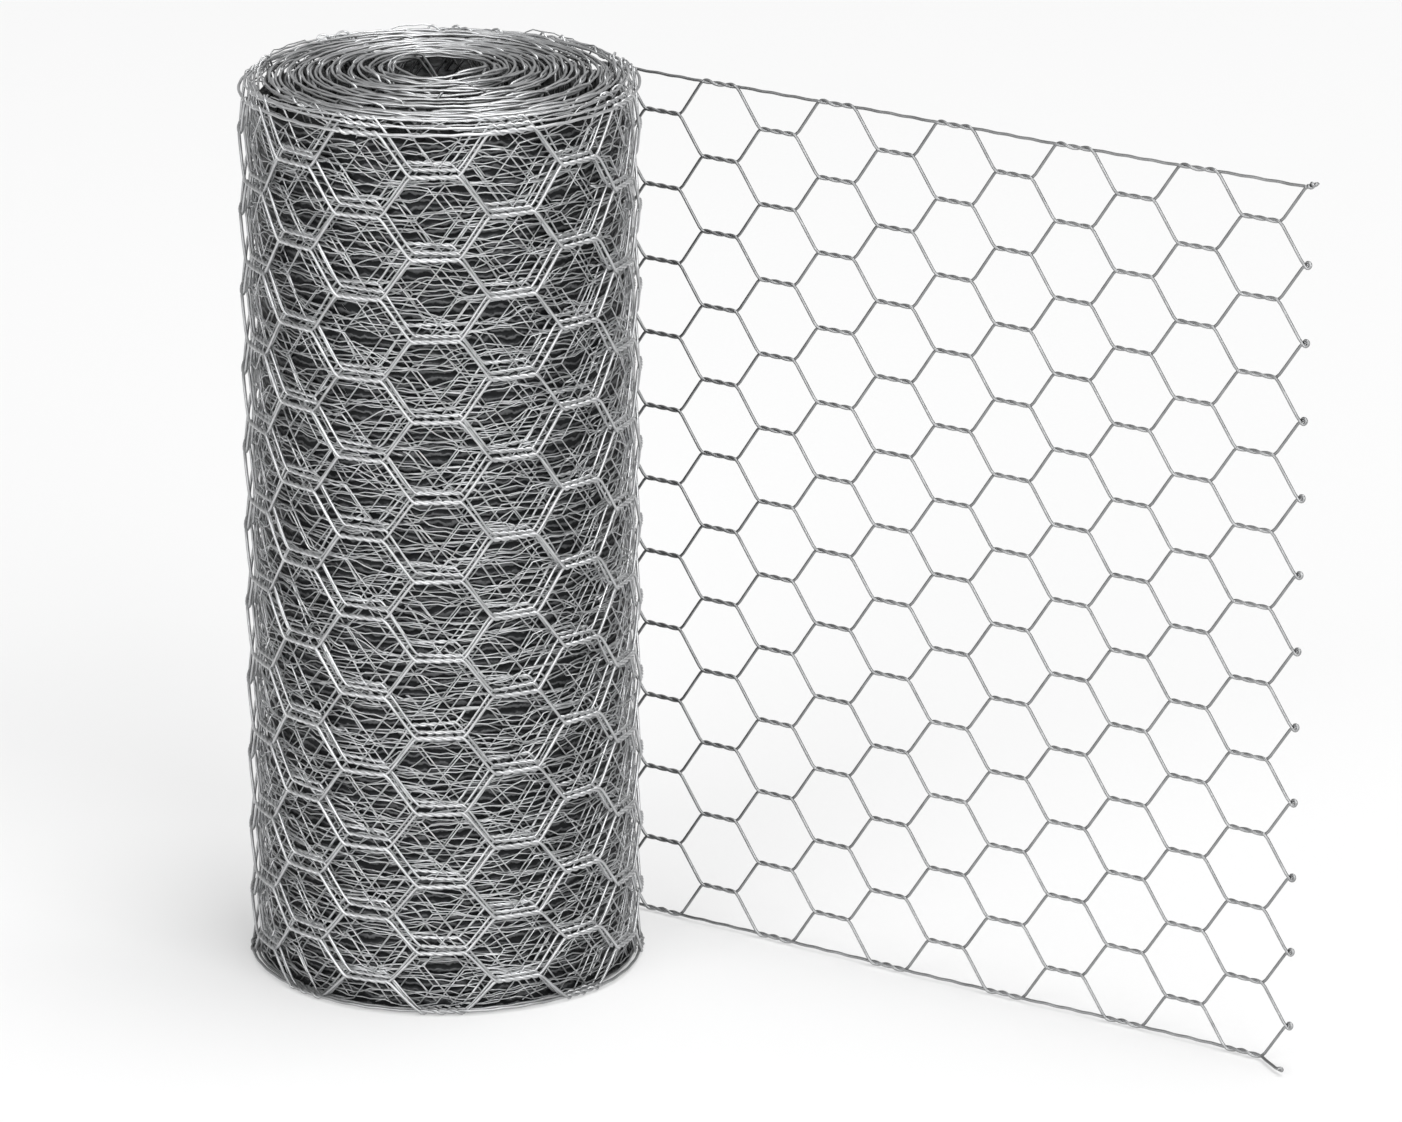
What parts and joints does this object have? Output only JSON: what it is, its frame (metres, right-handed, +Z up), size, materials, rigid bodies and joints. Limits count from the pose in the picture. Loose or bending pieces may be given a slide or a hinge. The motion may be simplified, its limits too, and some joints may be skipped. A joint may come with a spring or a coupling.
{
  "type": "roll of chicken wire",
  "caption": "Roll of galvanised hexagonal wire netting standing on end, with an open bore and its loose end drawn off upright along the tangent.",
  "frame": {"origin": "centre of the roll's bore at the floor the roll stands on", "axes": "+Z up along the roll's axis, +X along the loose end, which leaves the roll at its +Y side"},
  "size_m": [0.3624, 0.1361, 0.3],
  "materials": {
    "galvanised_wire": "hot-dip galvanised, satin grey"
  },
  "bodies": {
    "root": {"wound_roll": "galvanised_wire", "loose_end": "galvanised_wire"}
  },
  "joints": []
}
